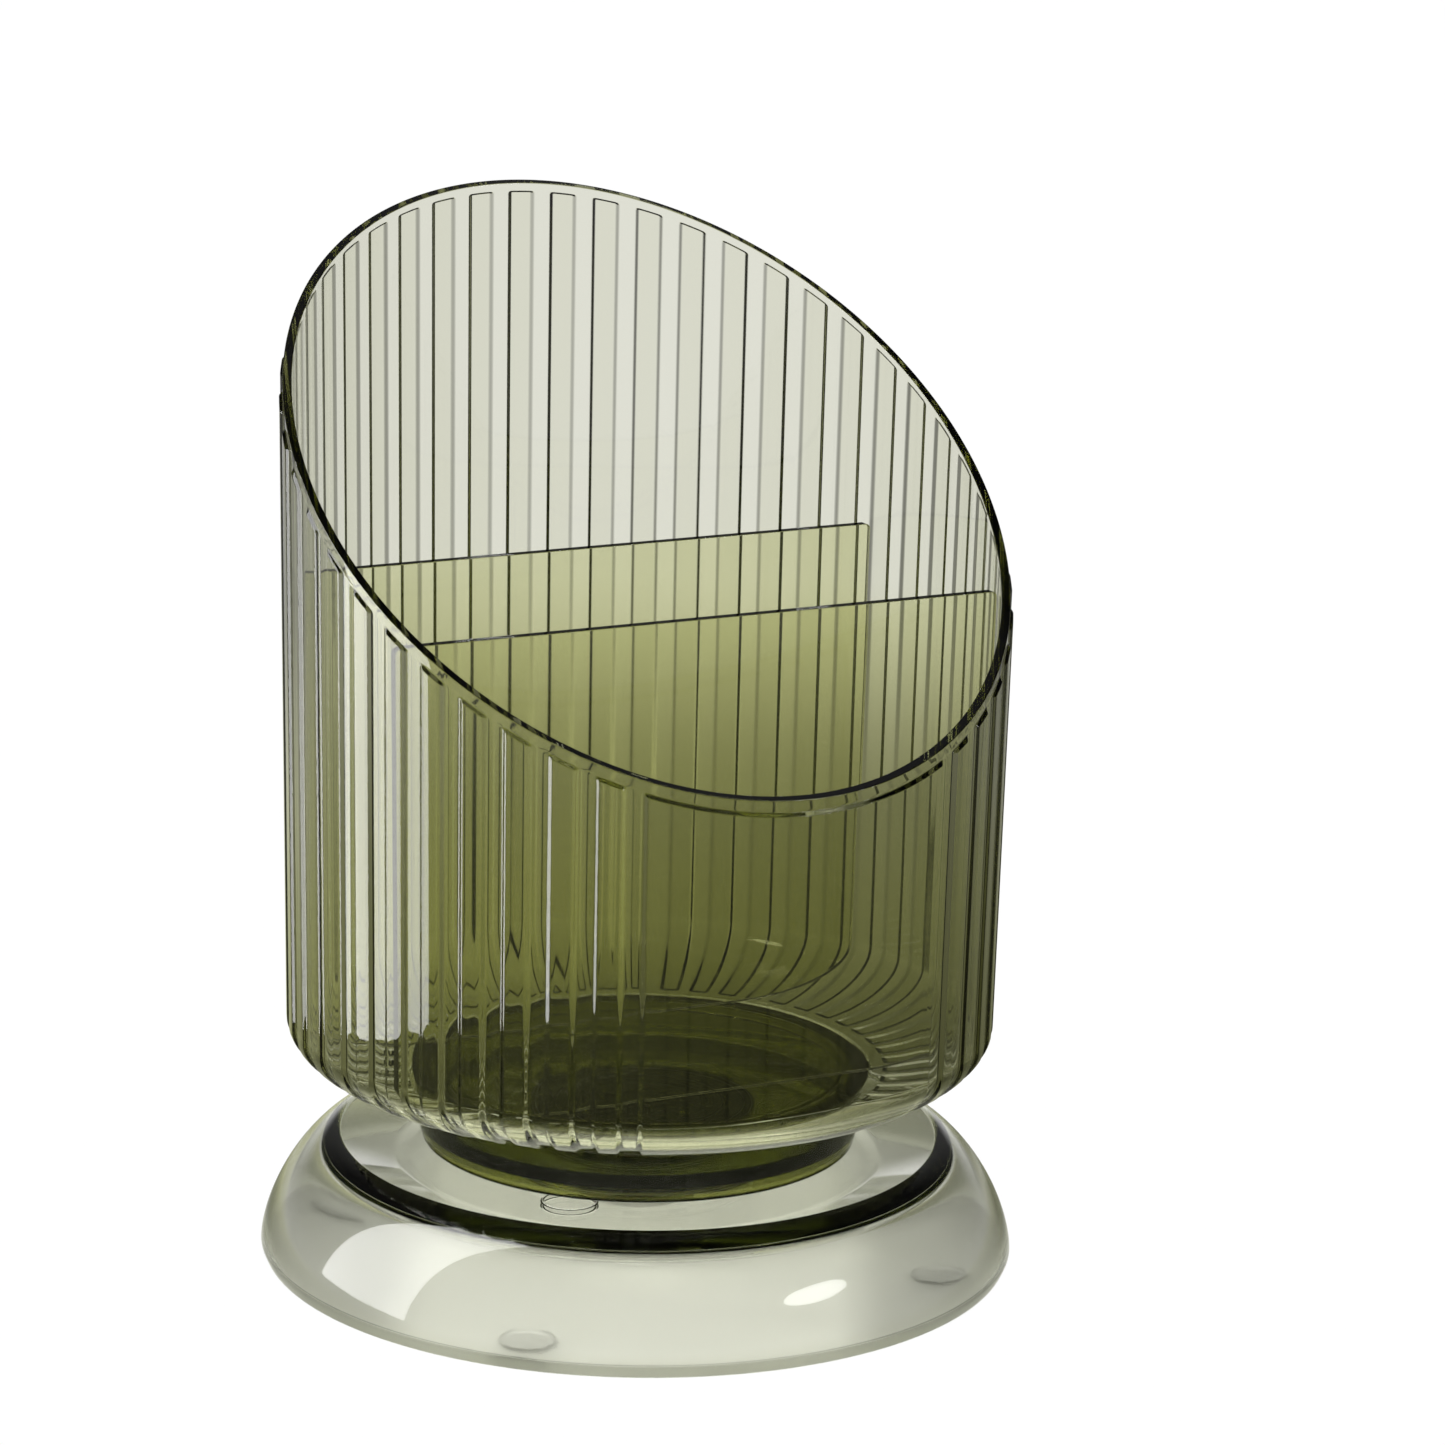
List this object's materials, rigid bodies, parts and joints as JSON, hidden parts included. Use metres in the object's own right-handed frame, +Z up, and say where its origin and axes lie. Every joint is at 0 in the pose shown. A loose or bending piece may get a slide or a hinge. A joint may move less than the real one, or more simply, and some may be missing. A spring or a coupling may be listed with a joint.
{
  "type": "desk organizer",
  "caption": "Clear olive pen holder: a slanted ribbed round cup with divider plates that turns on a ball turntable in a pale domed base.",
  "frame": {"origin": "centre of the resting plane, on the axis that the cup turns about", "axes": "+Z up along the turning axis; -Y points to the low side of the cup's slanted rim at rest; +X to the right seen from there"},
  "size_m": [0.11, 0.11, 0.1506],
  "materials": {
    "cup_clear": "polished clear olive-tinted plastic",
    "divider_clear": "polished clear olive-tinted plastic",
    "hub_clear": "polished clear deep olive plastic",
    "base_clear": "polished clear plastic with a pale smoky olive tint",
    "cover_clear": "clear plastic with a fine matte face and a pale smoky olive tint",
    "race_steel": "ground steel",
    "ball_steel": "polished bearing steel",
    "plated_steel": "zinc-plated steel",
    "nylon": "natural nylon",
    "pad_rubber": "translucent silicone"
  },
  "bodies": {
    "base": {"base_shell": "base_clear", "bottom_cover": "cover_clear", "lower_race": "race_steel", "slip_washer": "nylon", "foot_pad_1": "pad_rubber", "foot_pad_2": "pad_rubber", "foot_pad_3": "pad_rubber", "foot_pad_4": "pad_rubber"},
    "cup": {"pen_cup": "cup_clear", "front_divider": "divider_clear", "rear_divider": "divider_clear", "turntable_hub": "hub_clear", "upper_race": "race_steel", "keeper_washer": "plated_steel", "centre_screw": "plated_steel"},
    "cage": {"ball_cage": "nylon", "bearing_ball_01": "ball_steel", "bearing_ball_02": "ball_steel", "bearing_ball_03": "ball_steel", "bearing_ball_04": "ball_steel", "bearing_ball_05": "ball_steel", "bearing_ball_06": "ball_steel", "bearing_ball_07": "ball_steel", "bearing_ball_08": "ball_steel", "bearing_ball_09": "ball_steel", "bearing_ball_10": "ball_steel", "bearing_ball_11": "ball_steel", "bearing_ball_12": "ball_steel"}
  },
  "joints": [
    {"name": "cup_turn", "type": "hinge", "parent": "base", "child": "cup", "pos_m": [0, 0, 0.0174], "axis": [0, 0, 1], "continuous": true},
    {"name": "cage_turn", "type": "hinge", "parent": "base", "child": "cage", "pos_m": [0, 0, 0.0174], "axis": [0, 0, 1], "continuous": true}
  ],
  "couplings": [
    {"joint": "cage_turn", "follows": "cup_turn", "ratio": 0.5}
  ]
}
